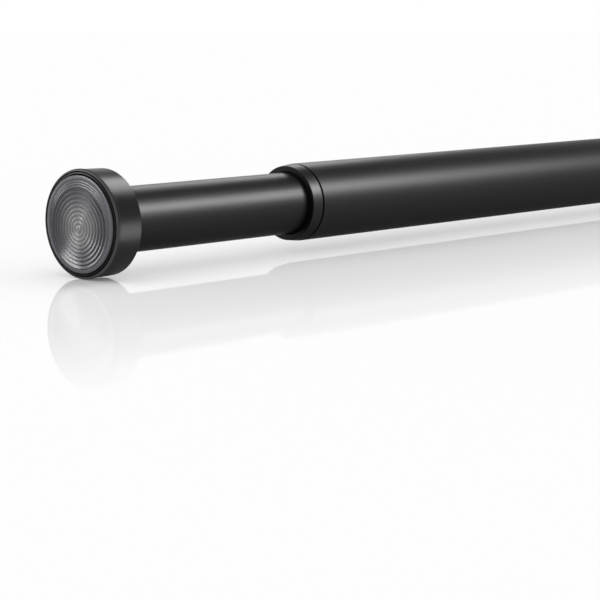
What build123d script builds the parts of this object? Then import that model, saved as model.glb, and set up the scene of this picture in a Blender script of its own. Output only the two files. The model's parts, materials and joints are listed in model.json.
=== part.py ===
"""Spring tension rod: two steel tubes that telescope, a twist lock and a spring inside, a pad at each end.

The rod lies along X, with +Z up. X = 0 is the face of the pad at the outer tube's closed end, and the
inner tube slides out towards +X. All sizes are in millimetres. The rod is drawn part way out, unlocked,
with its spring at full length against the stop.
"""

import os

from build123d import *

os.makedirs("parts", exist_ok=True)

# Tubes
outer_tube_diameter = 25.4
outer_tube_wall = 0.5
inner_tube_wall = 0.5
mouth_chamfer = 0.2

# Travel from the drawn position
draw_in = 58.0
draw_out = 146.0
spring_travel = 20.0
cap_room = 0.7
stop_gap = 0.5
end_gap = 1.0

# Fits, each measured on the radius
push_fit = 0.02
running_fit = 0.06
washer_fit = 0.1

# End caps
cap_overhang = 3.6
cap_length = 9.9
cap_draft = 0.18
bead_height = 0.17
bead_length = 0.9
lip_width = 0.55
lip_slope = 1.05
lip_depth = 0.5
pocket_depth = 2.3
web_thickness = 2.1
rim_chamfer = 0.35
cap_side_wall = 1.6
cap_hub_wall = 1.4
cap_rib_thickness = 1.2
cap_rib_count = 8

# Pads
pad_clearance = 0.15
pad_proud = 0.35
pad_edge = 0.3
ridge_pitch = 1.25
ridge_depth = 0.4
ridge_count = 9
boss_radius = 0.84

# Cap screws
screw_diameter = 4.0
screw_length = 16.0
screw_recess_length = 4.4
screw_recess_width = 0.9
screw_recess_depth = 1.3

# End plugs
plug_length = 20.0
plug_head = 2.0
plug_wall = 1.6
plug_relief = 0.5
plug_rib_width = 2.0
plug_rib_count = 4
plug_boss_diameter = 8.0

# Collar
collar_flange = 4.0
collar_gap = 0.7
collar_step = 0.1
collar_taper = 0.45
collar_sleeve = 30.0
collar_wall = 2.12
collar_land = 6.0
collar_relief = 0.4
collar_shoulder = 0.1
collar_bore_chamfer = 0.3

# Spindle
spindle_diameter = 6.0
spindle_flats = 5.0
spindle_end = 2.8
clip_groove_depth = 0.6
clip_thickness = 0.8
clip_diameter = 10.0
clip_opening = 3.4
washer_thickness = 1.0
stop_washer_gap = 1.5
end_washer_diameter = 15.0
seat_washer_diameter = 19.0

# Guide in the inner tube's inner end
guide_flange = 5.0
guide_spigot = 14.0
guide_notch_count = 4
guide_notch_width = 4.0
guide_notch_depth = 1.2

# Spring
spring_length = 64.0
spring_wire = 1.6
spring_mean_diameter = 14.0
spring_active_turns = 6.0
wire_sides = 8

# Lock
hub_flange = 6.0
hub_flange_diameter = 18.0
journal_diameter = 12.0
journal_offset = 1.0
ring_length = 14.0
ring_clearance = 0.6
ring_slit = 2.0
side_gap = 0.2
bush_length = 13.6
bush_bore_diameter = 9.1
bush_relief = 0.9
bush_rib_width = 4.0
bush_rib_count = 6
hub_pin_diameter = 2.0
hub_pin_inset = 0.5

# Radii that follow
outer_radius = outer_tube_diameter / 2
outer_bore = outer_radius - outer_tube_wall
inner_radius = outer_bore - push_fit - collar_wall - running_fit
inner_bore = inner_radius - inner_tube_wall
cap_radius = outer_radius + cap_overhang
side_radius = cap_radius - bead_height
back_radius = side_radius - cap_draft
pad_pocket_radius = cap_radius - lip_width - lip_slope
pad_radius = pad_pocket_radius - pad_clearance
seat_depth = pocket_depth + web_thickness
collar_radius = outer_radius - collar_step
screw_radius = screw_diameter / 2
screw_head_radius = screw_radius + web_thickness
spindle_radius = spindle_diameter / 2
groove_radius = spindle_radius - clip_groove_depth
journal_radius = journal_diameter / 2
spigot_radius = bush_bore_diameter / 2 - running_fit
ring_radius = outer_bore - ring_clearance

# Lengths that follow
journal_length = ring_length + 2 * side_gap
spigot_length = bush_length + 2 * side_gap
hub_length = hub_flange + journal_length + spigot_length
lock_length = washer_thickness + hub_length + washer_thickness + clip_thickness + spindle_end
mechanism_length = guide_flange + washer_thickness + spring_length + lock_length
outer_tube_length = (
    collar_sleeve + stop_gap + draw_out + mechanism_length + draw_in + end_gap + plug_length
)
bare_tube = draw_in + spring_travel + cap_room

# Places along the rod
outer_lip_x = pad_proud
outer_seat_x = outer_lip_x + seat_depth
mouth_x = outer_seat_x + outer_tube_length
collar_face_x = mouth_x + collar_gap + collar_flange
inner_lip_x = collar_face_x + bare_tube + cap_length
inner_seat_x = inner_lip_x - seat_depth
rod_length = inner_lip_x + pad_proud
inner_tube_end_x = mouth_x - collar_sleeve - stop_gap - draw_out
guide_face_x = inner_tube_end_x - guide_flange
spring_front_x = guide_face_x - washer_thickness
spring_rear_x = spring_front_x - spring_length
hub_front_x = spring_rear_x - washer_thickness
journal_front_x = hub_front_x - hub_flange
spigot_front_x = journal_front_x - journal_length
hub_rear_x = spigot_front_x - spigot_length
spindle_rear_x = hub_rear_x - washer_thickness - clip_thickness - spindle_end
guide_outer_x = inner_tube_end_x + guide_spigot
spindle_front_x = guide_outer_x + washer_thickness + clip_thickness + spindle_end
inner_tube_length = inner_seat_x - inner_tube_end_x

# The two ends: local x runs into the rod from the cap's lip, local y is the radius
outer_end = Plane(origin=(outer_lip_x, 0, 0), x_dir=(1, 0, 0), z_dir=(0, 0, 1))
inner_end = Plane(origin=(inner_lip_x, 0, 0), x_dir=(-1, 0, 0), z_dir=(0, 0, -1))


def across(x):
    """The plane square to the rod at x, facing +X."""
    return Plane(origin=(x, 0, 0), x_dir=(0, 1, 0), z_dir=(1, 0, 0))


def across_end(end, depth):
    """The plane square to the rod at a depth below an end cap's lip, facing out of that end."""
    return Plane(origin=end.from_local_coords((depth, 0, 0)), x_dir=(0, 1, 0), z_dir=-end.x_dir)


def save(piece, name):
    """Label a finished piece and write it out."""
    piece.label = name
    export_step(piece, f"parts/{name}.step")


def end_cap(end, tube_radius, cored):
    """Moulded cap: a rolled lip round the pad's pocket, a web for the screw, a socket for the tube."""
    socket_radius = tube_radius + push_fit
    hole_radius = screw_radius + running_fit
    head_radius = screw_head_radius + push_fit
    sink_depth = head_radius - hole_radius
    with BuildPart() as cap:
        with BuildSketch(end):
            with BuildLine():
                Polyline(
                    (0, cap_radius - lip_width),
                    (0, cap_radius - bead_height),
                    (bead_height, cap_radius),
                    (bead_length - bead_height, cap_radius),
                    (bead_length, side_radius),
                    (cap_length - rim_chamfer, back_radius),
                    (cap_length, back_radius - rim_chamfer),
                    (cap_length, socket_radius),
                    (seat_depth, socket_radius),
                    (seat_depth, hole_radius),
                    (pocket_depth + sink_depth, hole_radius),
                    (pocket_depth, head_radius),
                    (pocket_depth, pad_pocket_radius),
                    (lip_depth, pad_pocket_radius),
                    close=True,
                )
            make_face()
        revolve(axis=Axis.X)
        if cored:
            with BuildSketch(across_end(end, cap_length)):
                Circle(back_radius - cap_side_wall)
                Circle(socket_radius + cap_hub_wall, mode=Mode.SUBTRACT)
                with PolarLocations(cap_radius / 2, cap_rib_count):
                    Rectangle(cap_radius, cap_rib_thickness, mode=Mode.SUBTRACT)
            extrude(amount=cap_length - seat_depth, mode=Mode.SUBTRACT)
    return cap.part


def end_pad(end):
    """Ribbed grip pad: round ridges about a small boss, inside a flat outer band."""
    band_radius = boss_radius + ridge_count * ridge_pitch
    with BuildPart() as pad:
        with BuildSketch(end):
            with BuildLine():
                Polyline(
                    (-pad_proud, band_radius),
                    (-pad_proud, pad_radius - pad_edge),
                    (pad_edge - pad_proud, pad_radius),
                    (pocket_depth, pad_radius),
                    (pocket_depth, 0),
                    (-pad_proud, 0),
                    (-pad_proud, boss_radius),
                )
                for ridge in range(ridge_count):
                    foot = boss_radius + ridge * ridge_pitch
                    Polyline(
                        (-pad_proud, foot),
                        (ridge_depth - pad_proud, foot + ridge_pitch / 2),
                        (-pad_proud, foot + ridge_pitch),
                    )
            make_face()
        revolve(axis=Axis.X)
    return pad.part


def cap_screw(end):
    """Countersunk cross-recessed screw whose head lies flush in the pad's pocket."""
    with BuildPart() as screw:
        with BuildSketch(end):
            with BuildLine():
                Polyline(
                    (pocket_depth, 0),
                    (pocket_depth, screw_head_radius),
                    (seat_depth, screw_radius),
                    (pocket_depth + screw_length - screw_radius / 2, screw_radius),
                    (pocket_depth + screw_length, screw_radius / 2),
                    (pocket_depth + screw_length, 0),
                    close=True,
                )
            make_face()
        revolve(axis=Axis.X)
        with BuildSketch(across_end(end, pocket_depth)):
            Rectangle(screw_recess_length, screw_recess_width)
            Rectangle(screw_recess_width, screw_recess_length)
        extrude(amount=-screw_recess_depth, mode=Mode.SUBTRACT)
    return screw.part


def end_plug(end, bore_radius):
    """Hollow ribbed plug pressed into a tube's end, with a boss that takes the cap's screw."""
    body_radius = bore_radius - plug_relief
    with BuildPart() as plug:
        with BuildSketch(across_end(end, seat_depth)):
            Circle(bore_radius - push_fit)
        extrude(amount=-plug_head)
        with BuildSketch(across_end(end, seat_depth + plug_head)):
            Circle(bore_radius - push_fit)
            with BuildSketch(mode=Mode.INTERSECT):
                Circle(body_radius)
                with PolarLocations(bore_radius / 2, plug_rib_count):
                    Rectangle(bore_radius, plug_rib_width)
            Circle(body_radius - plug_wall, mode=Mode.SUBTRACT)
            Circle(plug_boss_diameter / 2)
        extrude(amount=plug_head - plug_length)
        with BuildSketch(across_end(end, seat_depth)):
            Circle(screw_radius + push_fit)
        extrude(amount=-plug_length, mode=Mode.SUBTRACT)
    return plug.part


def tube(start_x, length, radius, wall):
    """Plain drawn tube along the rod."""
    with BuildPart() as plain_tube:
        with BuildSketch(across(start_x)):
            Circle(radius)
            Circle(radius - wall, mode=Mode.SUBTRACT)
        extrude(amount=length)
    return plain_tube


def washer(front_x, diameter):
    """Flat washer on the spindle, its front face at front_x."""
    with BuildPart() as ring:
        with BuildSketch(across(front_x)):
            Circle(diameter / 2)
            Circle(spindle_radius + washer_fit, mode=Mode.SUBTRACT)
        extrude(amount=-washer_thickness)
    return ring.part


def spindle_clip(front_x):
    """Open retaining clip in a groove of the spindle, its front face at front_x."""
    with BuildPart() as clip:
        with BuildSketch(across(front_x)):
            Circle(clip_diameter / 2)
            Circle(groove_radius + push_fit, mode=Mode.SUBTRACT)
            with Locations((0, -clip_diameter / 2)):
                Rectangle(clip_opening, clip_diameter, mode=Mode.SUBTRACT)
        extrude(amount=-clip_thickness)
    return clip.part


# Both ends: cap, pad, screw and plug
save(end_cap(outer_end, outer_radius, cored=False), "outer_cap")
save(end_pad(outer_end), "outer_pad")
save(cap_screw(outer_end), "outer_cap_screw")
save(end_plug(outer_end, outer_bore), "outer_end_plug")
save(end_cap(inner_end, inner_radius, cored=True), "inner_cap")
save(end_pad(inner_end), "inner_pad")
save(cap_screw(inner_end), "inner_cap_screw")
save(end_plug(inner_end, inner_bore), "inner_end_plug")

# Outer tube, its mouth broken by a small chamfer
outer_tube = tube(outer_seat_x, outer_tube_length, outer_radius, outer_tube_wall)
with outer_tube:
    mouth_edge = outer_tube.faces().sort_by(Axis.X)[-1].edges().sort_by(SortBy.RADIUS)[-1]
    chamfer(mouth_edge, length=mouth_chamfer)
save(outer_tube.part, "outer_tube")

# Inner tube
inner_tube = tube(inner_tube_end_x, inner_tube_length, inner_radius, inner_tube_wall)
save(inner_tube.part, "inner_tube")

# Collar: flange with a tapered nose, a relief groove at the tube's mouth, a sleeve with two lands
land_bore = inner_radius + running_fit
relief_bore = land_bore + collar_relief
with BuildPart() as outer_collar:
    with BuildSketch(Plane.XY):
        with BuildLine():
            Polyline(
                (collar_face_x, land_bore + collar_bore_chamfer),
                (collar_face_x, collar_radius - collar_taper),
                (mouth_x + collar_gap, collar_radius),
                (mouth_x + collar_gap, outer_bore + collar_shoulder),
                (mouth_x, outer_bore + collar_shoulder),
                (mouth_x, outer_bore - push_fit),
                (mouth_x - collar_sleeve, outer_bore - push_fit),
                (mouth_x - collar_sleeve, land_bore),
                (mouth_x - collar_sleeve + collar_land, land_bore),
                (mouth_x - collar_sleeve + collar_land, relief_bore),
                (mouth_x - collar_land, relief_bore),
                (mouth_x - collar_land, land_bore),
                (collar_face_x - collar_bore_chamfer, land_bore),
                close=True,
            )
        make_face()
    revolve(axis=Axis.X)
save(outer_collar.part, "outer_collar")

# Spindle: round bar with two flats, a clip groove near each end, a cross hole for the hub's pin
front_groove_x = guide_outer_x + washer_thickness
rear_groove_x = hub_rear_x - washer_thickness - clip_thickness
hub_pin_x = hub_front_x - hub_flange / 2
with BuildPart() as spindle:
    with BuildSketch(across(spindle_rear_x)):
        Circle(spindle_radius)
        Rectangle(spindle_diameter, spindle_flats, mode=Mode.INTERSECT)
    extrude(amount=spindle_front_x - spindle_rear_x)
    for groove_x in (front_groove_x, rear_groove_x):
        with BuildSketch(across(groove_x)):
            Circle(spindle_diameter)
            Circle(groove_radius, mode=Mode.SUBTRACT)
        extrude(amount=clip_thickness, mode=Mode.SUBTRACT)
    with BuildSketch(Plane.XY):
        with Locations((hub_pin_x, 0)):
            Circle(hub_pin_diameter / 2 + push_fit)
    extrude(amount=spindle_diameter, both=True, mode=Mode.SUBTRACT)
save(spindle.part, "spindle")

# What sits on the spindle
save(washer(guide_outer_x + washer_thickness, 2 * (inner_bore - stop_washer_gap)), "stop_washer")
save(spindle_clip(front_groove_x + clip_thickness), "spindle_clip")
save(washer(guide_face_x, seat_washer_diameter), "spring_washer_front")
save(washer(spring_rear_x, seat_washer_diameter), "spring_washer_rear")
save(washer(hub_rear_x, end_washer_diameter), "end_washer")
save(spindle_clip(rear_groove_x + clip_thickness), "end_clip")

# Guide plug: a flange that slides in the outer tube, a spigot in the inner tube, a keyed hole
with BuildPart() as spindle_guide:
    with BuildSketch(across(guide_face_x)):
        Circle(outer_bore - running_fit)
        with PolarLocations(outer_bore, guide_notch_count):
            Rectangle(2 * guide_notch_depth, guide_notch_width, mode=Mode.SUBTRACT)
    extrude(amount=guide_flange)
    with BuildSketch(across(inner_tube_end_x)):
        Circle(inner_bore - push_fit)
    extrude(amount=guide_spigot)
    with BuildSketch(across(guide_face_x)):
        Circle(spindle_radius + running_fit)
        Rectangle(spindle_diameter * 2, spindle_flats + 2 * running_fit, mode=Mode.INTERSECT)
    extrude(amount=guide_flange + guide_spigot, mode=Mode.SUBTRACT)
save(spindle_guide.part, "spindle_guide")

# Spring: open turns with one closed turn at each end, wound from eight-sided wire
wire_radius = spring_wire / 2
coil_radius = spring_mean_diameter / 2
open_length = spring_length - 3 * spring_wire
rear_turn_x = spring_rear_x + wire_radius
open_turns_x = rear_turn_x + spring_wire
front_turn_x = open_turns_x + open_length
runs = (
    (rear_turn_x, spring_wire, spring_wire),
    (open_turns_x, open_length, open_length / spring_active_turns),
    (front_turn_x, spring_wire, spring_wire),
)
with BuildPart() as spring:
    for run_x, run_length, run_pitch in runs:
        with BuildLine() as coil:
            Helix(run_pitch, run_length, coil_radius, center=(run_x, 0, 0), direction=(1, 0, 0))
        with BuildSketch(Plane(origin=coil.line @ 0, z_dir=coil.line % 0)):
            RegularPolygon(wire_radius, wire_sides)
        sweep(path=coil.line)
save(spring.part, "spring")

# Cam hub: spring seat, eccentric journal for the ring, round spigot for the bush, keyed bore
with BuildPart() as cam_hub:
    with BuildSketch(across(journal_front_x)):
        Circle(hub_flange_diameter / 2)
    extrude(amount=hub_flange)
    with BuildSketch(across(spigot_front_x)):
        with Locations((journal_offset, 0)):
            Circle(journal_radius)
    extrude(amount=journal_length)
    with BuildSketch(across(hub_rear_x)):
        Circle(spigot_radius)
    extrude(amount=spigot_length)
    with BuildSketch(across(hub_rear_x)):
        Circle(spindle_radius + push_fit)
        Rectangle(spindle_diameter * 2, spindle_flats + 2 * push_fit, mode=Mode.INTERSECT)
    extrude(amount=hub_length, mode=Mode.SUBTRACT)
    with BuildSketch(Plane.XY):
        with Locations((hub_pin_x, 0)):
            Circle(hub_pin_diameter / 2 + push_fit)
    extrude(amount=hub_flange_diameter, both=True, mode=Mode.SUBTRACT)
save(cam_hub.part, "cam_hub")

# Cross pin through hub and spindle
with BuildPart() as hub_pin:
    with BuildSketch(Plane.XY):
        with Locations((hub_pin_x, 0)):
            Circle(hub_pin_diameter / 2)
    extrude(amount=hub_flange_diameter / 2 - hub_pin_inset, both=True)
save(hub_pin.part, "hub_pin")

# Lock ring: split ring round the journal, its outside centred in the tube while unlocked
with BuildPart() as lock_ring:
    with BuildSketch(across(spigot_front_x + side_gap)):
        Circle(ring_radius)
        with Locations((journal_offset, 0)):
            Circle(journal_radius + running_fit, mode=Mode.SUBTRACT)
        with Locations((-ring_radius, 0)):
            Rectangle(2 * ring_radius, ring_slit, mode=Mode.SUBTRACT)
    extrude(amount=ring_length)
save(lock_ring.part, "lock_ring")

# Guide bush: ribs that slide in the outer tube, a round bore on the hub's spigot
with BuildPart() as guide_bush:
    with BuildSketch(across(hub_rear_x + side_gap)):
        Circle(outer_bore - running_fit)
        with BuildSketch(mode=Mode.INTERSECT):
            Circle(outer_bore - running_fit - bush_relief)
            with PolarLocations(outer_bore / 2, bush_rib_count):
                Rectangle(outer_bore, bush_rib_width)
        Circle(bush_bore_diameter / 2, mode=Mode.SUBTRACT)
    extrude(amount=bush_length)
save(guide_bush.part, "guide_bush")

print(f"rod as drawn {rod_length:.2f}, closed {rod_length - draw_in:.2f}, open {rod_length + draw_out:.2f}")
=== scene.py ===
"""Spring tension rod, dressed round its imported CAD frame.

The file is laid out as an add-on: the sizes and colours are properties, each group of pieces is an
operator, and a panel lists them. Run as a script, it makes every piece and the stage in order.
All lengths are in metres. The rod lies along X, and X = 0 is the grip pad at the outer tube's end.
"""

import json
import math

import bmesh
import bpy
from bpy.props import FloatProperty, FloatVectorProperty, IntProperty, PointerProperty
from bpy.types import Operator, Panel, PropertyGroup, Scene
from mathutils import Matrix, Vector


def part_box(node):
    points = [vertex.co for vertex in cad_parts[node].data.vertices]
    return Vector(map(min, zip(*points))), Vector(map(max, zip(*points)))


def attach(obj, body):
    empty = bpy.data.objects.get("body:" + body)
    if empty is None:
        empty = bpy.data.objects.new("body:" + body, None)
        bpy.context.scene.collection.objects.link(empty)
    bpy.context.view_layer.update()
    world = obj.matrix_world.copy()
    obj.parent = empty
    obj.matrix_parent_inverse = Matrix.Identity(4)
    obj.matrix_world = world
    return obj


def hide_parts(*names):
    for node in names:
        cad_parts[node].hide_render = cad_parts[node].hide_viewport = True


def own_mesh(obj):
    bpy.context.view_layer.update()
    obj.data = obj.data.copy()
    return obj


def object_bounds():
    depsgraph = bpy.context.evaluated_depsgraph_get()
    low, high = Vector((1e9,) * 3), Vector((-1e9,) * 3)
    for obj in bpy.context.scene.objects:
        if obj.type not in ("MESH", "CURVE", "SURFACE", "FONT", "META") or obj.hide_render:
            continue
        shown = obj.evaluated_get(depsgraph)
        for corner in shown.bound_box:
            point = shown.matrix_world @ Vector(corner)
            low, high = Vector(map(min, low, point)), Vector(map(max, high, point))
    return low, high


bl_info = {
    "name": "Spring tension rod",
    "version": (1, 0, 0),
    "blender": (4, 5, 0),
    "location": "View3D > Sidebar > Rod",
    "description": "Makes the finished pieces of a spring tension rod round its CAD frame",
    "category": "Object",
}

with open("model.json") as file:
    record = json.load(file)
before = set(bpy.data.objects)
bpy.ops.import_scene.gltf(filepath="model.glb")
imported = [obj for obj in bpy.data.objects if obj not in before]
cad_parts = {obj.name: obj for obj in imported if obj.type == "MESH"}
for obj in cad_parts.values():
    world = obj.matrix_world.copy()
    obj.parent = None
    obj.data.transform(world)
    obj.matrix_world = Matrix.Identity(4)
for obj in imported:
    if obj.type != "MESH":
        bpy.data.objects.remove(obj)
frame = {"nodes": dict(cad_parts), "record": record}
cad_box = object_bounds()
nodes = frame["nodes"]

MM = 0.001
AXIS = (1.0, 0.0, 0.0)
TURN = 2 * math.pi

# Steps round a full turn, with the part of the cap's that one rib behind it takes
TUBE_STEPS = 224
CAP_STEPS = 240
RIB_STEPS = 4
PAD_STEPS = 192
COIL_STEPS = 48
WIRE_STEPS = 14

# Small lengths that several pieces share, and the angle past which an edge is shaded sharp
PUSH_FIT = 0.02 * MM
FINE_EDGE = 0.08 * MM
MERGE_GAP = 0.0005 * MM
SHARP_ANGLE = math.radians(38)

outer_tube_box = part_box("outer_tube")
inner_tube_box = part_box("inner_tube")
collar_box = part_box("outer_collar")
outer_cap_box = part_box("outer_cap")
inner_cap_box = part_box("inner_cap")
pad_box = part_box("inner_pad")
spring_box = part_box("spring")


def length(label, about, default):
    """A length in metres, shown in the panel."""
    return FloatProperty(
        name=label, description=about, default=default, min=0.0, precision=5, unit="LENGTH"
    )


def number(label, about, default, least=0.0):
    """A plain number, shown in the panel."""
    return FloatProperty(name=label, description=about, default=default, min=least)


def count(label, about, default, least):
    """A whole number, shown in the panel."""
    return IntProperty(name=label, description=about, default=default, min=least)


def colour(label, about, default):
    """A linear colour, shown in the panel."""
    return FloatVectorProperty(
        name=label, description=about, default=default, size=3, min=0.0, max=1.0, subtype="COLOR"
    )


class TubeSizes(PropertyGroup):
    """Sizes of the two tubes and of the collar between them."""

    outer_radius: length("Outer tube radius", "Outside radius of the thicker tube", outer_tube_box[1].z)
    inner_radius: length("Inner tube radius", "Outside radius of the thinner tube", inner_tube_box[1].z)
    wall: length("Tube wall", "Thickness of both tubes", 0.5 * MM)
    mouth_round: length("Mouth rounding", "Rounding of the outer tube's rolled mouth", 0.16 * MM)
    collar_radius: length("Collar radius", "Outside radius of the collar's flange", collar_box[1].z)
    collar_gap: length("Groove width", "Width of the groove between flange and tube", 0.7 * MM)
    collar_groove: length("Groove depth", "Depth of the groove between flange and tube", 0.95 * MM)
    collar_taper: length("Collar taper", "Fall in the flange's radius towards its face", 0.45 * MM)
    collar_play: length("Collar play", "Clearance of the collar round the inner tube", 0.06 * MM)
    collar_land: length("Collar land", "Length of each bearing land in the bore", 6.0 * MM)
    collar_relief: length("Collar relief", "Depth of the bore between its lands", 0.4 * MM)
    collar_mouth: length("Collar mouth", "Chamfer of the collar's bore at its face", 0.3 * MM)


class CapSizes(PropertyGroup):
    """Sizes of the round end caps."""

    radius: length("Cap radius", "Largest radius, at the bead", inner_cap_box[1].z)
    depth: length(
        "Cap length", "Length from the lip to the back rim", inner_cap_box[1].x - inner_cap_box[0].x
    )
    bead_height: length("Bead height", "How far the rolled bead stands out", 0.17 * MM)
    bead_length: length("Bead length", "Distance from the lip to the end of the rolled bead", 1.3 * MM)
    bead_roll: length("Bead roll", "Radius of the bead's rolled front", 0.62 * MM)
    groove_inset: length("Lip groove inset", "Flat between the bead's roll and the groove", 0.08 * MM)
    groove_width: length("Lip groove width", "Width of the fine groove inside the bead", 0.3 * MM)
    groove_depth: length("Lip groove depth", "Depth of the fine groove inside the bead", 0.45 * MM)
    draft: length("Side taper", "Fall in radius from the bead to the back rim", 0.18 * MM)
    lip_width: length("Lip width", "Width of the coned lip inside the groove", 0.55 * MM)
    lip_fall: length("Lip fall", "How far the coned lip falls towards the groove", 0.16 * MM)
    lip_play: length("Lip play", "Width of the lip's inner bevel", 0.1 * MM)
    lip_depth: length("Lip depth", "Depth of the lip's inner bevel", 0.5 * MM)
    pocket_depth: length("Pocket depth", "Depth of the pad's pocket", 2.3 * MM)
    web: length("Web", "Thickness of the wall between pad and tube", 2.1 * MM)
    rim_round: length("Rim rounding", "Rounding of the back rim", 0.35 * MM)
    side_wall: length("Side wall", "Thickness of the hollow cap's side", 1.6 * MM)
    hub_wall: length("Hub wall", "Thickness of the hollow cap's hub", 1.4 * MM)
    ribs: count("Ribs", "Ribs in the hollow cap's back", 8, 2)
    screw_hole: length("Screw hole", "Radius of the hole for the cap's screw", 2.06 * MM)
    screw_sink: length("Screw sink", "Radius of the sink for the screw's head", 4.12 * MM)


class PadSizes(PropertyGroup):
    """Sizes of the ribbed grip pads."""

    radius: length("Pad radius", "Outside radius", pad_box[1].z)
    depth: length("Pad thickness", "From the face to the pocket's floor", pad_box[1].x - pad_box[0].x)
    edge_round: length("Edge rounding", "Rounding of the pad's front edge", 0.4 * MM)
    boss_radius: length("Boss radius", "Radius of the small flat in the middle", 0.84 * MM)
    ridge_pitch: length("Ridge pitch", "Distance from ridge to ridge", 1.25 * MM)
    ridge_depth: length("Ridge depth", "Depth between two ridges", 0.4 * MM)
    inner_share: number("Inner share", "Innermost ridge's depth over the outermost's", 0.45)
    valley_share: number("Valley share", "Place of a valley within its pitch, from the inside", 0.27)
    ridges: count("Ridges", "Number of round ridges", 9, 2)
    fine_lines: count("Fine lines", "Shallow lines outside the ridges", 3, 1)
    line_share: number("Line share", "Depth of a fine line over the ridges' depth", 0.28)
    band_radius: length("Band radius", "Inside radius of the flat band round the ridges", 13.35 * MM)
    centre_drop: length("Centre drop", "How far the innermost ridge lies below the middle", 1.45 * MM)
    centre_shift: length("Centre shift", "How far the innermost ridge lies to the side", 0.5 * MM)
    last_share: number("Last share", "Share of drop and shift that the last ridge keeps", 0.7)


class SpringSizes(PropertyGroup):
    """Sizes of the pressure spring."""

    wire: length("Wire", "Diameter of the wire", 1.6 * MM)
    coil_radius: length("Coil radius", "Radius of the coil, to the wire's middle", 7.0 * MM)
    travel: length("Travel", "How far the spring is pressed in", 20.0 * MM)
    open_turns: count("Open turns", "Turns that work", 6, 1)


class RodColours(PropertyGroup):
    """Linear colours of the finishes."""

    tube: colour("Tubes and collar", "Satin black powder coat", (0.0225, 0.0225, 0.0228))
    cap: colour("Caps", "Satin black plastic", (0.003, 0.003, 0.0031))
    # Painted highlight: the caps' colour round the rolled bead
    cap_bead_highlight: colour("Caps, rubbed bead", "Plastic rubbed lighter round the bead", (0.05, 0.05, 0.05))
    pad: colour("Pads, middle", "Translucent grey rubber in the middle", (0.125, 0.125, 0.127))
    pad_outer: colour("Pads, ridges", "Thinner rubber under the outer ridges", (0.034, 0.031, 0.042))
    pad_band: colour("Pads, band", "Thicker rubber in the flat band at the edge", (0.047, 0.044, 0.053))
    # Painted shade: the colour that the pads' valleys darken to
    pad_painted_shade: colour("Pads, valleys", "Thin rubber over the black cap", (0.004, 0.0035, 0.006))
    pale_plastic: colour("Pale plastic", "Natural moulded plastic", (0.62, 0.60, 0.55))
    grey_plastic: colour("Grey plastic", "Grey moulded plastic", (0.17, 0.175, 0.18))
    zinc: colour("Zinc", "Zinc plated steel", (0.60, 0.61, 0.62))
    wire: colour("Spring wire", "Oiled spring wire", (0.24, 0.235, 0.23))
    floor: colour("Floor", "Pale floor", (0.985, 0.985, 0.985))


class StageLevels(PropertyGroup):
    """Levels of the floor and the surround, and where the floor's polish ends."""

    ambient: number("Ambient", "Strength of the surround's light", 1.0)
    overhead: number("Overhead", "Surround overhead, in reflections", 0.3)
    floor_glow: number("Floor glow", "Share of plain white in the floor", 0.15)
    floor_roughness: number("Floor roughness", "Blur of the floor's polish", 0.04)
    floor_ior: number("Floor gloss", "Refractive index of the floor's polish", 1.45, 1.0)
    polish_near: number("Polish near", "Mirror share in the strip under the rod", 0.8)
    polish_far: number("Polish far", "Mirror share beside that strip", 0.48)
    strip_start: length("Strip start", "Half width of the strip under the rod", 4.0 * MM)
    strip_end: length("Strip end", "Where the strip has faded into the rest", 20.0 * MM)
    fade_start: length("Fade start", "Where the polish starts to fade", 50.0 * MM)
    fade_end: length("Fade end", "Where the polish has faded out", 160.0 * MM)


# Shared effects


def new_group(name, inputs, outputs):
    """An empty shader node group with float, colour or vector sockets."""
    group = bpy.data.node_groups.new(name, "ShaderNodeTree")
    for label, kind, default in inputs:
        socket = group.interface.new_socket(name=label, in_out="INPUT", socket_type=kind)
        if default is not None:
            socket.default_value = default
    for label, kind in outputs:
        group.interface.new_socket(name=label, in_out="OUTPUT", socket_type=kind)
    return group, group.nodes.new("NodeGroupInput"), group.nodes.new("NodeGroupOutput")


def add_math(tree, operation, first, second=0.0):
    """A maths node fed by sockets or numbers. Some operations use the first one only."""
    node = tree.nodes.new("ShaderNodeMath")
    node.operation = operation
    for socket, value in zip(node.inputs, (first, second)):
        if hasattr(value, "is_linked"):
            tree.links.new(value, socket)
        else:
            socket.default_value = value
    return node.outputs["Value"]


def add_noise(tree, vector, scale, detail, roughness):
    """A noise texture on given coordinates. Scale is a socket or a number."""
    node = tree.nodes.new("ShaderNodeTexNoise")
    node.inputs["Detail"].default_value = detail
    node.inputs["Roughness"].default_value = roughness
    tree.links.new(vector, node.inputs["Vector"])
    if hasattr(scale, "is_linked"):
        tree.links.new(scale, node.inputs["Scale"])
    else:
        node.inputs["Scale"].default_value = scale
    return node.outputs["Fac"]


def add_range(tree, value, low, high, at_low, at_high):
    """A value carried smoothly from one range to another."""
    node = tree.nodes.new("ShaderNodeMapRange")
    node.interpolation_type = "SMOOTHSTEP"
    tree.links.new(value, node.inputs["Value"])
    limits = (("From Min", low), ("From Max", high), ("To Min", at_low), ("To Max", at_high))
    for label, limit in limits:
        node.inputs[label].default_value = limit
    return node.outputs["Result"]


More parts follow.
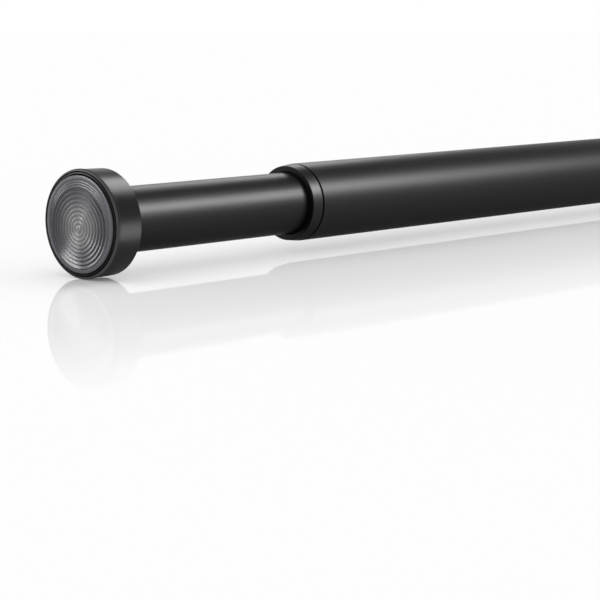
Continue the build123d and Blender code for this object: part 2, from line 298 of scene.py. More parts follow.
def grain_group():
    """Fine grain of a moulded or coated surface: a height, and a roughness that wanders a little."""
    group, given, out = new_group(
        "fine_grain",
        (
            ("Grain", "NodeSocketFloat", 1400.0),
            ("Patches", "NodeSocketFloat", 45.0),
            ("Roughness", "NodeSocketFloat", 0.4),
            ("Wander", "NodeSocketFloat", 0.1),
        ),
        (("Height", "NodeSocketFloat"), ("Roughness", "NodeSocketFloat")),
    )
    place = group.nodes.new("ShaderNodeTexCoord").outputs["Object"]
    fine = add_noise(group, place, given.outputs["Grain"], 2.0, 0.5)
    broad = add_noise(group, place, given.outputs["Patches"], 3.0, 0.55)
    centred = add_math(group, "SUBTRACT", broad, 0.5)
    wander = add_math(group, "MULTIPLY", centred, given.outputs["Wander"])
    rough = add_math(group, "ADD", wander, given.outputs["Roughness"])
    group.links.new(fine, out.inputs["Height"])
    group.links.new(rough, out.inputs["Roughness"])
    return group


def streak_group():
    """Fine streaks that run along X, as on drawn wire and on a tube that slides in a collar."""
    group, given, out = new_group(
        "length_streaks",
        (
            ("Across", "NodeSocketFloat", 1500.0),
            ("Stretch", "NodeSocketFloat", 0.02),
            ("Threshold", "NodeSocketFloat", 0.5),
        ),
        (("Mask", "NodeSocketFloat"), ("Height", "NodeSocketFloat")),
    )
    place = group.nodes.new("ShaderNodeTexCoord").outputs["Object"]
    parts = group.nodes.new("ShaderNodeSeparateXYZ")
    joined = group.nodes.new("ShaderNodeCombineXYZ")
    group.links.new(place, parts.inputs["Vector"])
    along = add_math(group, "MULTIPLY", parts.outputs["X"], given.outputs["Stretch"])
    group.links.new(along, joined.inputs["X"])
    group.links.new(parts.outputs["Y"], joined.inputs["Y"])
    group.links.new(parts.outputs["Z"], joined.inputs["Z"])
    streaks = add_noise(group, joined.outputs["Vector"], given.outputs["Across"], 3.0, 0.6)
    over = add_math(group, "SUBTRACT", streaks, given.outputs["Threshold"])
    mask = add_math(group, "MULTIPLY", over, 4.0)
    bounded = add_math(group, "MAXIMUM", mask, 0.0)
    group.links.new(add_math(group, "MINIMUM", bounded, 1.0), out.inputs["Mask"])
    group.links.new(streaks, out.inputs["Height"])
    return group


def place_group(tree, group, **values):
    """Put a shared effect in a material with its own values."""
    node = tree.nodes.new("ShaderNodeGroup")
    node.node_tree = group
    for label, value in values.items():
        node.inputs[label].default_value = value
    return node


def new_material(name, **values):
    """A material with one Principled shader and the constants given for its sockets."""
    material = bpy.data.materials.new(name)
    material.use_nodes = True
    shader = material.node_tree.nodes["Principled BSDF"]
    for label, value in values.items():
        shader.inputs[label.replace("_", " ")].default_value = value
    return material, material.node_tree, shader


def add_bump(tree, shader, height, strength, distance):
    """Feed a height to the shader's normal."""
    bump = tree.nodes.new("ShaderNodeBump")
    bump.inputs["Strength"].default_value = strength
    bump.inputs["Distance"].default_value = distance
    tree.links.new(height, bump.inputs["Height"])
    tree.links.new(bump.outputs["Normal"], shader.inputs["Normal"])


def add_mix(tree, factor, first, second):
    """A mix of two colours, each a socket or a triple."""
    node = tree.nodes.new("ShaderNodeMix")
    node.data_type = "RGBA"
    tree.links.new(factor, node.inputs["Factor"])
    for label, value in (("A", first), ("B", second)):
        socket = [s for s in node.inputs if s.name == label and s.type == "RGBA"][0]
        if hasattr(value, "is_linked"):
            tree.links.new(value, socket)
        else:
            socket.default_value = (*value, 1.0)
    return [s for s in node.outputs if s.type == "RGBA"][0]


def scaled(rgb, factor):
    """A colour scaled up or down."""
    return tuple(min(1.0, part * factor) for part in rgb)


def coat_material(name, rgb, sliding):
    """Satin black powder coat: fine orange peel, and faint length marks, stronger on a sliding tube.

    The coat is a dark Metallic one, whose base colour is what it mirrors face on. The edge tint keeps
    what it mirrors at a flat angle below white, as satin paint does.
    """
    edge_tint = (0.65, 0.65, 0.65, 1.0)
    mark = 1.2 if sliding else 1.08
    material, tree, shader = new_material(name, Metallic=1.0, Specular_Tint=edge_tint)
    effect = shared("fine_grain")
    grain = place_group(tree, effect, Grain=900.0, Patches=28.0, Roughness=0.41, Wander=0.07)
    streaks = place_group(tree, shared("length_streaks"), Across=1100.0, Stretch=0.012, Threshold=0.58)
    tint = add_mix(tree, streaks.outputs["Mask"], rgb, scaled(rgb, mark))
    tree.links.new(tint, shader.inputs["Base Color"])
    tree.links.new(grain.outputs["Roughness"], shader.inputs["Roughness"])
    add_bump(tree, shader, grain.outputs["Height"], strength=0.16, distance=0.05 * MM)
    return material


def moulded_material(name, rgb, roughness, gloss, strength):
    """Moulded plastic with a fine spark-eroded grain."""
    material, tree, shader = new_material(name, Specular_IOR_Level=gloss)
    effect = shared("fine_grain")
    grain = place_group(tree, effect, Grain=1700.0, Patches=60.0, Roughness=roughness, Wander=0.12)
    tint = add_mix(tree, grain.outputs["Height"], scaled(rgb, 0.92), scaled(rgb, 1.08))
    tree.links.new(tint, shader.inputs["Base Color"])
    tree.links.new(grain.outputs["Roughness"], shader.inputs["Roughness"])
    add_bump(tree, shader, grain.outputs["Height"], strength, distance=0.04 * MM)
    return material


def from_axis(tree, parts):
    """Distance from the rod's axis, from separated object coordinates."""
    square_y = add_math(tree, "MULTIPLY", parts.outputs["Y"], parts.outputs["Y"])
    square_z = add_math(tree, "MULTIPLY", parts.outputs["Z"], parts.outputs["Z"])
    return add_math(tree, "SQRT", add_math(tree, "ADD", square_y, square_z))


def from_ends(tree, parts, first, last):
    """Distance inwards from the nearer of two places along X, from separated object coordinates."""
    middle = (first + last) / 2
    away = add_math(tree, "ABSOLUTE", add_math(tree, "SUBTRACT", parts.outputs["X"], middle))
    return add_math(tree, "SUBTRACT", (last - first) / 2, away)


def cap_material(name, colours, sizes):
    """Moulded cap plastic, with a painted highlight: lighter round the rolled bead."""
    material = moulded_material(name, colours.cap, roughness=0.33, gloss=0.12, strength=0.1)
    tree = material.node_tree
    shader = tree.nodes["Principled BSDF"]
    parts = tree.nodes.new("ShaderNodeSeparateXYZ")
    tree.links.new(tree.nodes.new("ShaderNodeTexCoord").outputs["Object"], parts.inputs["Vector"])
    distance = from_axis(tree, parts)
    depth = from_ends(tree, parts, outer_cap_box[0].x, inner_cap_box[1].x)
    # Painted highlight: a lighter base colour on the bead's rolled front, near the lip
    roll = sizes.radius - sizes.bead_roll
    edge = 0.1 * MM
    outside = add_range(tree, distance, roll - edge, roll + edge, 0.0, 1.0)
    front = add_range(tree, depth, 0.7 * sizes.bead_roll, 1.3 * sizes.bead_roll, 1.0, 0.0)
    highlighted = add_math(tree, "MULTIPLY", outside, front)
    plain = shader.inputs["Base Color"].links[0].from_socket
    tree.links.new(add_mix(tree, highlighted, plain, colours.cap_bead_highlight), shader.inputs["Base Color"])
    return material


def pad_material(name, colours, sizes):
    """Translucent rubber: cloudier in the middle, violet towards the edge, painted shade in valleys.

    The painted shade deepens into each valley, where the rubber is thinner, and is lighter on outward
    flanks.
    """
    roughness = 0.24
    cloudiness = 3.0
    middle_end, edge_start = 0.25 * sizes.radius, 0.72 * sizes.radius
    band_start, band_full = sizes.band_radius - 0.4 * MM, sizes.band_radius + 0.2 * MM
    flank_relief = 0.6
    material, tree, shader = new_material(
        name,
        Specular_IOR_Level=0.3,
        IOR=1.5,
        Coat_Weight=0.3,
        Coat_Roughness=0.14,
        Transmission_Weight=0.1,
    )
    effect = shared("fine_grain")
    grain = place_group(tree, effect, Grain=700.0, Patches=160.0, Roughness=roughness, Wander=0.12)
    place = tree.nodes.new("ShaderNodeTexCoord").outputs["Object"]
    parts = tree.nodes.new("ShaderNodeSeparateXYZ")
    tree.links.new(place, parts.inputs["Vector"])
    distance = from_axis(tree, parts)
    thinner = add_range(tree, distance, middle_end, edge_start, 0.0, 1.0)
    cloud = add_math(tree, "SUBTRACT", grain.outputs["Roughness"], roughness)
    factor = add_math(tree, "ADD", thinner, add_math(tree, "MULTIPLY", cloud, cloudiness))
    inside = add_mix(tree, factor, colours.pad, colours.pad_outer)
    band = add_range(tree, distance, band_start, band_full, 0.0, 1.0)
    tint = add_mix(tree, band, inside, colours.pad_band)
    depth = from_ends(tree, parts, 0.0, pad_box[1].x)
    # Painted shade: darker with depth into each ridge's valley, less on the outward flanks
    valley_shading = add_range(tree, depth, 0.0, sizes.ridge_depth, 0.0, 1.0)
    flank = tree.nodes.new("ShaderNodeAttribute")
    flank.attribute_name = "outward_flank"
    relief = add_math(tree, "MULTIPLY", flank.outputs["Fac"], flank_relief)
    kept = add_math(tree, "SUBTRACT", 1.0, relief)
    shade_amount = add_math(tree, "MULTIPLY", valley_shading, kept)
    tree.links.new(add_mix(tree, shade_amount, tint, colours.pad_painted_shade), shader.inputs["Base Color"])
    tree.links.new(grain.outputs["Roughness"], shader.inputs["Roughness"])
    add_bump(tree, shader, grain.outputs["Height"], strength=0.08, distance=0.05 * MM)
    return material


def metal_material(name, rgb, roughness):
    """Plated or drawn steel with fine length streaks."""
    material, tree, shader = new_material(name, Metallic=1.0)
    effect = shared("fine_grain")
    grain = place_group(tree, effect, Grain=1200.0, Patches=130.0, Roughness=roughness, Wander=0.2)
    streaks = place_group(tree, shared("length_streaks"), Across=2200.0, Stretch=0.05, Threshold=0.5)
    tint = add_mix(tree, streaks.outputs["Mask"], rgb, scaled(rgb, 0.8))
    tree.links.new(tint, shader.inputs["Base Color"])
    tree.links.new(grain.outputs["Roughness"], shader.inputs["Roughness"])
    add_bump(tree, shader, streaks.outputs["Height"], strength=0.1, distance=0.03 * MM)
    return material


def shared(name):
    """The shared effect of that name, made when it is first wanted."""
    makers = {"fine_grain": grain_group, "length_streaks": streak_group}
    return bpy.data.node_groups.get(name) or makers[name]()


# Making pieces


def draw_outline(mesh, corners, closed):
    """A wire of (x, radius, rounding) corners above the rod's axis, each corner rounded as it says."""
    verts = [mesh.verts.new((x, 0.0, radius)) for x, radius, _ in corners]
    pairs = list(zip(verts, verts[1:]))
    if closed:
        pairs.append((verts[-1], verts[0]))
    for pair in pairs:
        mesh.edges.new(pair)
    for vert, (_, _, rounding) in zip(verts, corners):
        if rounding:
            bmesh.ops.bevel(
                mesh,
                geom=[vert],
                offset=rounding,
                offset_type="OFFSET",
                segments=4,
                profile=0.5,
                affect="VERTICES",
                material=-1,
            )


def turn_outline(corners, steps, closed=True):
    """A closed shell turned about the rod's axis from an outline."""
    mesh = bmesh.new()
    draw_outline(mesh, corners, closed)
    bmesh.ops.spin(
        mesh,
        geom=list(mesh.verts) + list(mesh.edges),
        cent=(0.0, 0.0, 0.0),
        axis=AXIS,
        angle=TURN,
        steps=steps,
        use_merge=True,
    )
    bmesh.ops.remove_doubles(mesh, verts=mesh.verts, dist=MERGE_GAP)
    bmesh.ops.recalc_face_normals(mesh, faces=mesh.faces)
    return mesh


def finish_piece(mesh, name, material, body, slot, *replaced):
    """Turn a bmesh into a shaded piece that rides on its body in place of CAD nodes."""
    data = bpy.data.meshes.new(name)
    mesh.to_mesh(data)
    mesh.free()
    data.shade_smooth()
    data.set_sharp_from_angle(angle=SHARP_ANGLE)
    data.materials.append(material)
    piece = bpy.data.objects.new(name, data)
    bpy.context.scene.collection.objects.link(piece)
    even = piece.modifiers.new("even_shading", "WEIGHTED_NORMAL")
    even.keep_sharp = True
    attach(piece, body)
    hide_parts(*replaced)
    return piece


class ROD_OT_tubes(Operator):
    """Make the two satin black tubes"""

    bl_idname = "rod.tubes"
    bl_label = "Tubes"

    def execute(self, context):
        sizes = context.scene.rod_tubes
        rgb = context.scene.rod_colours.tube
        tubes = (
            ("outer", outer_tube_box, sizes.outer_radius, sizes.mouth_round, False),
            ("inner", inner_tube_box, sizes.inner_radius, FINE_EDGE, True),
        )
        for body, box, radius, rounding, sliding in tubes:
            start, end = box[0].x, box[1].x
            bore = radius - sizes.wall
            corners = (
                (start, radius, FINE_EDGE),
                (end, radius, rounding),
                (end, bore, FINE_EDGE),
                (start, bore, FINE_EDGE),
            )
            node = f"{body}_tube"
            material = coat_material(f"{node}_coat", rgb, sliding)
            mesh = turn_outline(corners, TUBE_STEPS)
            finish_piece(mesh, f"{node}_coated", material, body, "tube_black", node)
        return {"FINISHED"}


class ROD_OT_collar(Operator):
    """Make the collar in the outer tube's mouth"""

    bl_idname = "rod.collar"
    bl_label = "Collar"

    def execute(self, context):
        sizes = context.scene.rod_tubes
        face = collar_box[1].x
        mouth = outer_tube_box[1].x
        back = collar_box[0].x
        bore = sizes.inner_radius + sizes.collar_play
        relief = bore + sizes.collar_relief
        sleeve = sizes.outer_radius - sizes.wall - PUSH_FIT
        groove = sizes.collar_radius - sizes.collar_groove
        corners = (
            (face, bore + sizes.collar_mouth, 0.1 * MM),
            (face, sizes.collar_radius - sizes.collar_taper, 0.16 * MM),
            (mouth + sizes.collar_gap, sizes.collar_radius, 0.1 * MM),
            (mouth + sizes.collar_gap, groove, 0),
            (mouth - sizes.collar_gap, groove, 0),
            (mouth - sizes.collar_gap, sleeve, 0),
            (back, sleeve, 0.2 * MM),
            (back, bore, 0.2 * MM),
            (back + sizes.collar_land, bore, 0),
            (back + sizes.collar_land, relief, 0),
            (mouth - sizes.collar_land, relief, 0),
            (mouth - sizes.collar_land, bore, 0),
            (face - sizes.collar_mouth, bore, 0.1 * MM),
        )
        material = coat_material("collar_satin", context.scene.rod_colours.tube, False)
        mesh = turn_outline(corners, TUBE_STEPS)
        finish_piece(mesh, "mouth_collar", material, "outer", "cap_black", "outer_collar")
        return {"FINISHED"}


def sink_pockets(mesh, sizes, back, inward, inner, outer):
    """Hollow the cap's back between ribs, by extruding its back ring's faces into the cap."""
    rib_pitch = CAP_STEPS // sizes.ribs
    sunk = []
    for face in mesh.faces:
        centre = face.calc_center_median()
        radius = math.hypot(centre.y, centre.z)
        if abs(centre.x - back) > 0.01 * MM or not inner < radius < outer:
            continue
        angle = math.atan2(centre.y, centre.z) % TURN
        place = int(angle / TURN * CAP_STEPS) % rib_pitch
        if place >= RIB_STEPS:
            sunk.append(face)
    made = bmesh.ops.extrude_face_region(mesh, geom=sunk)
    verts = [item for item in made["geom"] if isinstance(item, bmesh.types.BMVert)]
    bmesh.ops.delete(mesh, geom=sunk, context="FACES")
    depth = sizes.depth - sizes.pocket_depth - sizes.web
    bmesh.ops.translate(mesh, verts=verts, vec=(inward * depth, 0.0, 0.0))
    bmesh.ops.recalc_face_normals(mesh, faces=mesh.faces)


class ROD_OT_end_caps(Operator):
    """Make the two round end caps, the inner one hollow and ribbed behind"""

    bl_idname = "rod.end_caps"
    bl_label = "End caps"

    def execute(self, context):
        sizes = context.scene.rod_caps
        tubes = context.scene.rod_tubes
        material = cap_material("cap_plastic", context.scene.rod_colours, sizes)
        ends = (
            ("outer", outer_cap_box[0].x, 1.0, tubes.outer_radius, False),
            ("inner", inner_cap_box[1].x, -1.0, tubes.inner_radius, True),
        )
        for body, lip, inward, tube_radius, hollow in ends:
            socket = tube_radius + PUSH_FIT
            side = sizes.radius - sizes.bead_height
            back_radius = side - sizes.draft
            groove = sizes.radius - sizes.bead_roll - sizes.groove_inset
            pocket = groove - sizes.groove_width - sizes.lip_width
            seat = sizes.pocket_depth + sizes.web
            hub = socket + sizes.hub_wall
            inside = back_radius - sizes.side_wall
            profile = [
                (0, pocket + sizes.lip_play, FINE_EDGE),
                (sizes.lip_fall, groove - sizes.groove_width, 0.05 * MM),
                (sizes.lip_fall + sizes.groove_depth, groove - sizes.groove_width / 2, 0),
                (sizes.lip_fall, groove, 0.05 * MM),
                (sizes.lip_fall, sizes.radius, sizes.bead_roll),
                (sizes.bead_length, sizes.radius, 0.12 * MM),
                (sizes.bead_length + sizes.bead_height, side, 0.1 * MM),
                (sizes.depth, back_radius, sizes.rim_round),
            ]
            if hollow:
                profile += [(sizes.depth, inside, 0), (sizes.depth, hub, 0)]
            profile += [
                (sizes.depth, socket, 0.15 * MM),
                (seat, socket, 0),
                (seat, sizes.screw_hole, 0),
                (sizes.pocket_depth + sizes.screw_sink - sizes.screw_hole, sizes.screw_hole, 0),
                (sizes.pocket_depth, sizes.screw_sink, 0),
                (sizes.pocket_depth, pocket, 0),
                (sizes.lip_depth, pocket, 0),
            ]
            corners = [(lip + inward * depth, radius, rounding) for depth, radius, rounding in profile]
            mesh = turn_outline(corners, CAP_STEPS)
            if hollow:
                sink_pockets(mesh, sizes, lip + inward * sizes.depth, -inward, hub, inside)
            finish_piece(mesh, f"{body}_end_cap", material, body, "cap_black", f"{body}_cap")
        return {"FINISHED"}


def pad_outline(sizes):
    """The pad's half section as (depth, radius, rounding) corners, and where the last ridge ends."""
    profile = [(0, 0, 0), (0, sizes.boss_radius, 0.12 * MM)]
    for ridge in range(sizes.ridges):
        start = sizes.boss_radius + ridge * sizes.ridge_pitch
        growth = (1.0 - sizes.inner_share) * ridge / (sizes.ridges - 1)
        depth = sizes.ridge_depth * (sizes.inner_share + growth)
        profile.append((depth, start + sizes.ridge_pitch * sizes.valley_share, 0.12 * MM))
        profile.append((0, start + sizes.ridge_pitch, FINE_EDGE))
    last = sizes.boss_radius + sizes.ridges * sizes.ridge_pitch
    fine = (sizes.band_radius - last) / sizes.fine_lines
    for line in range(sizes.fine_lines):
        profile.append((sizes.ridge_depth * sizes.line_share, last + fine * (line + 0.5), 0.06 * MM))
        profile.append((0, last + fine * (line + 1), 0.05 * MM))
    profile += [
        (0, sizes.radius, sizes.edge_round),
        (sizes.depth, sizes.radius, 0.1 * MM),
        (sizes.depth, 0, 0),
    ]
    return profile, last


def mark_flanks(mesh, sizes, last):
    """Mark the faces between each ridge's crest and the valley outside it, for the pad's material."""
    flank = mesh.faces.layers.float.new("outward_flank")
    for side in mesh.faces:
        centre = side.calc_center_median()
        out = math.hypot(centre.y, centre.z)
        share = (out - sizes.boss_radius) / sizes.ridge_pitch % 1.0
        side[flank] = 1.0 if sizes.boss_radius < out < last and share < sizes.valley_share else 0.0


def lower_middle(mesh, sizes, face, last):
    """Shift the ridges down and aside, most in the middle and not at all at the flat band."""
    for vert in mesh.verts:
        out = math.hypot(vert.co.y, vert.co.z)
        if out < last:
            share = 1.0 - (1.0 - sizes.last_share) * (out / last) ** 2
        else:
            left = (sizes.band_radius - out) / (sizes.band_radius - last)
            share = sizes.last_share * max(0.0, left)
        if abs(vert.co.x - face) < sizes.ridge_depth + 0.01 * MM:
            vert.co.z -= sizes.centre_drop * share
            vert.co.y -= sizes.centre_shift * share


class ROD_OT_grip_pads(Operator):
    """Make the two ribbed translucent grip pads"""

    bl_idname = "rod.grip_pads"
    bl_label = "Grip pads"

    def execute(self, context):
        sizes = context.scene.rod_pads
        material = pad_material("pad_rubber", context.scene.rod_colours, sizes)
        profile, last = pad_outline(sizes)
        for body, face, inward in (("outer", 0.0, 1.0), ("inner", pad_box[1].x, -1.0)):
            corners = [(face + inward * depth, radius, rounding) for depth, radius, rounding in profile]
            mesh = turn_outline(corners, PAD_STEPS, closed=False)
            mark_flanks(mesh, sizes, last)
            lower_middle(mesh, sizes, face, last)
            finish_piece(mesh, f"{body}_grip_pad", material, body, "pad_grey", f"{body}_pad")
        return {"FINISHED"}


class ROD_OT_spring(Operator):
    """Wind the pressure spring at its CAD length; the real one shortens as the rod is pressed in"""

    bl_idname = "rod.spring"
    bl_label = "Pressure spring"

    def execute(self, context):
        sizes = context.scene.rod_spring
        rear, front = spring_box[0].x, spring_box[1].x
        wire_radius = sizes.wire / 2
        whole = front - rear
        # Each closed turn takes one wire, and half a wire stands past the path at each end
        open_length = whole - 3 * sizes.wire
        mesh = bmesh.new()
        start = Matrix.Translation((rear + wire_radius, 0.0, sizes.coil_radius))
        upright = start @ Matrix.Rotation(TURN / 4, 4, "X")
        bmesh.ops.create_circle(
            mesh, cap_ends=True, segments=WIRE_STEPS, radius=wire_radius, matrix=upright
        )
        last = list(mesh.faces) + list(mesh.edges) + list(mesh.verts)
        runs = ((1, sizes.wire), (sizes.open_turns, open_length), (1, sizes.wire))
        for turns, run in runs:
            steps = COIL_STEPS * turns
            spun = bmesh.ops.spin(
                mesh,
                geom=last,
                cent=(0.0, 0.0, 0.0),
                axis=AXIS,
                dvec=(run / steps, 0.0, 0.0),
                angle=TURN * turns,
                steps=steps,
            )
            last = spun["geom_last"]
        bmesh.ops.recalc_face_normals(mesh, faces=mesh.faces)
        material = metal_material("spring_wire", context.scene.rod_colours.wire, roughness=0.38)
        piece = finish_piece(mesh, "pressure_spring", material, "lock", "spring_steel", "spring")
        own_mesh(piece)
        return {"FINISHED"}


class ROD_OT_inner_works(Operator):
    """Give the lock, plugs, screws and washers inside the tubes their finishes"""

    bl_idname = "rod.inner_works"
    bl_label = "Inner works"

    def execute(self, context):
        colours = context.scene.rod_colours
        pale, grey = colours.pale_plastic, colours.grey_plastic
        gloss = 0.5
        finishes = {
            "lock_white": moulded_material("pale_moulding", pale, 0.42, gloss, strength=0.12),
            "plug_grey": moulded_material("grey_moulding", grey, 0.48, gloss, strength=0.15),
            "bright_steel": metal_material("zinc_plate", colours.zinc, roughness=0.3),
        }
        for entry in frame["record"]["subparts"]:
            finish = finishes.get(entry["material_slot"])
            if finish is None:
                continue
            node = nodes[entry["node"]]
            node.data.materials.clear()
            node.data.materials.append(finish)
        return {"FINISHED"}


class ROD_OT_stage(Operator):
    """Make the floor, the light and the camera"""

    bl_idname = "rod.stage"
    bl_label = "Stage"

    def execute(self, context):
        make_floor(context)
        make_world(context)
        make_lights(context)
        make_camera(context)
        context.scene.view_settings.view_transform = "Standard"
        return {"FINISHED"}


def seen_rays(tree):
    """1 for rays from the camera, a mirror or glass, and 0 for light that spreads."""
    path = tree.nodes.new("ShaderNodeLightPath")
    first = add_math(tree, "MAXIMUM", path.outputs["Is Camera Ray"], path.outputs["Is Glossy Ray"])
    return add_math(tree, "MAXIMUM", first, path.outputs["Is Transmission Ray"])


def make_floor(context):
    """A wide pale floor with a soft shadow, and a polish that fades away from the rod."""
    stage = context.scene.rod_stage
    middle = 0.25
    under = cad_box[0].z - 0.01 * MM
    reach = 9.0
    mesh = bmesh.new()
    low = Matrix.Translation((middle, 0.0, under))
    bmesh.ops.create_circle(mesh, cap_ends=True, segments=96, radius=reach, matrix=low)
    data = bpy.data.meshes.new("floor")
    mesh.to_mesh(data)
    mesh.free()
    floor = bpy.data.objects.new("floor", data)
    context.scene.collection.objects.link(floor)
    material = bpy.data.materials.new("pale_floor")
    material.use_nodes = True
    tree = material.node_tree
    tree.nodes.remove(tree.nodes["Principled BSDF"])
    spread = tree.nodes.new("ShaderNodeBsdfDiffuse")
    spread.inputs["Color"].default_value = (*context.scene.rod_colours.floor, 1.0)
    glow = tree.nodes.new("ShaderNodeEmission")
    plain = tree.nodes.new("ShaderNodeMixShader")
    camera_ray = tree.nodes.new("ShaderNodeLightPath").outputs["Is Camera Ray"]
    tree.links.new(add_math(tree, "MULTIPLY", camera_ray, stage.floor_glow), plain.inputs["Fac"])
    tree.links.new(spread.outputs["BSDF"], plain.inputs[1])
    tree.links.new(glow.outputs["Emission"], plain.inputs[2])
    polish = tree.nodes.new("ShaderNodeBsdfGlossy")
    polish.inputs["Color"].default_value = (1.0, 1.0, 1.0, 1.0)
    polish.inputs["Roughness"].default_value = stage.floor_roughness
    parts = tree.nodes.new("ShaderNodeSeparateXYZ")
    place = tree.nodes.new("ShaderNodeTexCoord").outputs["Object"]
    tree.links.new(place, parts.inputs["Vector"])
    away = add_math(tree, "ABSOLUTE", parts.outputs["Y"])
    more = stage.polish_near - stage.polish_far
    near = add_range(tree, away, stage.strip_start, stage.strip_end, more, 0.0)
    far = add_range(tree, away, stage.fade_start, stage.fade_end, stage.polish_far, 0.0)
    fresnel = tree.nodes.new("ShaderNodeFresnel")
    fresnel.inputs["IOR"].default_value = stage.floor_ior
    mirror = add_math(tree, "MULTIPLY", add_math(tree, "ADD", near, far), fresnel.outputs["Fac"])
    mixed = tree.nodes.new("ShaderNodeMixShader")
    tree.links.new(mirror, mixed.inputs["Fac"])
    tree.links.new(plain.outputs["Shader"], mixed.inputs[1])
    tree.links.new(polish.outputs["BSDF"], mixed.inputs[2])
    tree.links.new(mixed.outputs["Shader"], tree.nodes["Material Output"].inputs["Surface"])
    data.materials.append(material)


def make_world(context):
    """A plain surround, white to the camera, even as a light, and darker overhead in reflections.

    The darkening runs between two heights, which are sines of the angle above the horizon.
    """
    dark_from, dark_full = 0.35, 0.62
    world = bpy.data.worlds.new("plain_surround")
    context.scene.world = world
    world.use_nodes = True
    tree = world.node_tree
    back = tree.nodes["Background"]
    back.inputs["Color"].default_value = (1.0, 1.0, 1.0, 1.0)
    ambient = context.scene.rod_stage.ambient
    darkening = 1.0 - context.scene.rod_stage.overhead
    parts = tree.nodes.new("ShaderNodeSeparateXYZ")
    tree.links.new(tree.nodes.new("ShaderNodeTexCoord").outputs["Generated"], parts.inputs["Vector"])
    above = add_range(tree, parts.outputs["Z"], dark_from, dark_full, 0.0, darkening)
    path = tree.nodes.new("ShaderNodeLightPath")
    mirrored = add_math(tree, "MULTIPLY", path.outputs["Is Glossy Ray"], above)
    shown = add_math(tree, "MULTIPLY", seen_rays(tree), 1.0 - ambient)
    lit = add_math(tree, "ADD", shown, ambient)
    tree.links.new(add_math(tree, "SUBTRACT", lit, mirrored), back.inputs["Strength"])


def add_softbox(context, name, along, angle, reach, size, power, lit):
    """A soft light that faces the rod's axis and lights the pieces named.

    It stands at a place along the axis, at an angle above the +Y side in degrees and at a distance
    from the axis. Its size is its length along the rod and its width, and its power is in watts.
    """
    lamp = bpy.data.lights.new(name, "AREA")
    lamp.shape = "RECTANGLE"
    lamp.size, lamp.size_y = size
    lamp.energy = power
    holder = bpy.data.objects.new(name, lamp)
    outward = Vector((0.0, math.cos(math.radians(angle)), math.sin(math.radians(angle))))
    holder.location = Vector((along, 0.0, 0.0)) + outward * reach
    across = outward.cross(Vector(AXIS))
    holder.rotation_mode = "QUATERNION"
    holder.rotation_quaternion = Matrix((AXIS, across, outward)).transposed().to_quaternion()
    holder.visible_camera = False
    context.scene.collection.objects.link(holder)
    receivers = bpy.data.collections.new(f"{name}_lights")
    for piece in lit:
        receivers.objects.link(bpy.data.objects[piece])
    shading = "shading_pieces"
    blockers = bpy.data.collections.get(shading) or bpy.data.collections.new(shading)
    for piece in lit:
        if piece not in blockers.objects:
            blockers.objects.link(bpy.data.objects[piece])
    holder.light_linking.receiver_collection = receivers
    holder.light_linking.blocker_collection = blockers


def make_lights(context):
    """Softboxes for the tubes, the caps and the pads.

    The back and the front one leave the inner tube's cap out, whose bead they would make too bright.
    """
    tubes = ("outer_tube_coated", "inner_tube_coated", "mouth_collar")
    caps = ("outer_end_cap", "inner_end_cap")
    pads = ("outer_grip_pad", "inner_grip_pad")
    far_pieces = (*tubes, "outer_end_cap")
    softboxes = (
        ("tube_softbox", -0.08, 39.2, 0.6, (0.45, 0.24), 12.0, tubes),
        ("rim_softbox", 0.2, 135.0, 0.6, (1.06, 0.18), 6.4, tubes),
        ("back_softbox", 0.62, 140.0, 0.6, (0.7, 0.24), 7.0, far_pieces),
        ("front_softbox", 0.62, 40.0, 0.6, (0.7, 0.24), 5.0, far_pieces),
        ("cap_softbox", -0.18, 90.0, 0.6, (0.4, 0.42), 9.0, caps),
        ("cap_bounce", -0.08, -18.0, 0.5, (0.4, 0.16), 8.0, caps),
        ("pad_softbox", 1.2, 140.0, 0.6, (0.66, 0.4), 7.0, pads),
        ("face_softbox", 1.22, 176.0, 0.6, (0.5, 0.5), 3.0, pads),
        ("side_softbox", 0.6, 172.0, 0.6, (0.3, 0.2), 0.6, pads),
        ("lip_softbox", 0.99, 152.0, 0.6, (0.5, 0.4), 5.0, caps),
    )
    for softbox in softboxes:
        add_softbox(context, *softbox)


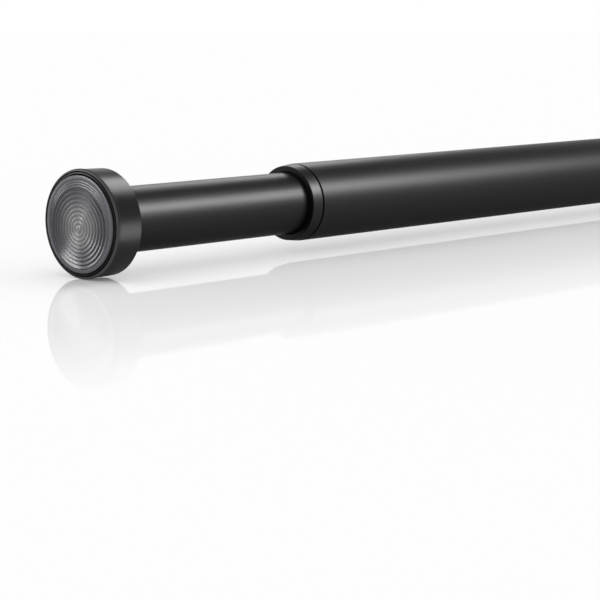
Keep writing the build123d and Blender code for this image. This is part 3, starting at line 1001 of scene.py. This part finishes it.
def make_camera(context):
    """The camera at the photograph's viewing angle. The sensor and the lens are in millimetres."""
    place = (0.83395, 0.42696, 0.06017)
    sight = Vector((-0.72917, -0.66862, -0.14539))
    lens = bpy.data.cameras.new("view")
    lens.sensor_width = 36.0
    lens.lens = 115.7
    lens.clip_start, lens.clip_end = 0.01, 50.0
    camera = bpy.data.objects.new("view", lens)
    camera.location = place
    camera.rotation_mode = "QUATERNION"
    camera.rotation_quaternion = sight.to_track_quat("-Z", "Y")
    context.scene.collection.objects.link(camera)
    context.scene.camera = camera


class ROD_PT_panel(Panel):
    """Lists the rod's sizes, colours and steps"""

    bl_label = "Spring tension rod"
    bl_idname = "ROD_PT_panel"
    bl_space_type = "VIEW_3D"
    bl_region_type = "UI"
    bl_category = "Rod"

    def draw(self, context):
        layout = self.layout
        for title, group in GROUPS.items():
            box = layout.box()
            box.label(text=title)
            values = getattr(context.scene, group)
            for name in values.bl_rna.properties.keys():
                if name not in ("rna_type", "name"):
                    box.prop(values, name)
        for step in STEPS:
            layout.operator(step.bl_idname)


GROUPS = {
    "Tubes": "rod_tubes",
    "Caps": "rod_caps",
    "Pads": "rod_pads",
    "Spring": "rod_spring",
    "Colours": "rod_colours",
    "Stage": "rod_stage",
}
GROUP_TYPES = (TubeSizes, CapSizes, PadSizes, SpringSizes, RodColours, StageLevels)
STEPS = (
    ROD_OT_tubes,
    ROD_OT_collar,
    ROD_OT_end_caps,
    ROD_OT_grip_pads,
    ROD_OT_spring,
    ROD_OT_inner_works,
    ROD_OT_stage,
)


def register():
    """Add the properties, the operators and the panel."""
    for kind in (*GROUP_TYPES, *STEPS, ROD_PT_panel):
        bpy.utils.register_class(kind)
    for group, kind in zip(GROUPS.values(), GROUP_TYPES):
        setattr(Scene, group, PointerProperty(type=kind))


def unregister():
    """Take them away again."""
    for group in GROUPS.values():
        delattr(Scene, group)
    for kind in reversed((*GROUP_TYPES, *STEPS, ROD_PT_panel)):
        bpy.utils.unregister_class(kind)


def main():
    """Register the add-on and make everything."""
    register()
    bpy.ops.rod.tubes()
    bpy.ops.rod.collar()
    bpy.ops.rod.end_caps()
    bpy.ops.rod.grip_pads()
    bpy.ops.rod.spring()
    bpy.ops.rod.inner_works()
    bpy.ops.rod.stage()


if __name__ == "__main__":
    main()
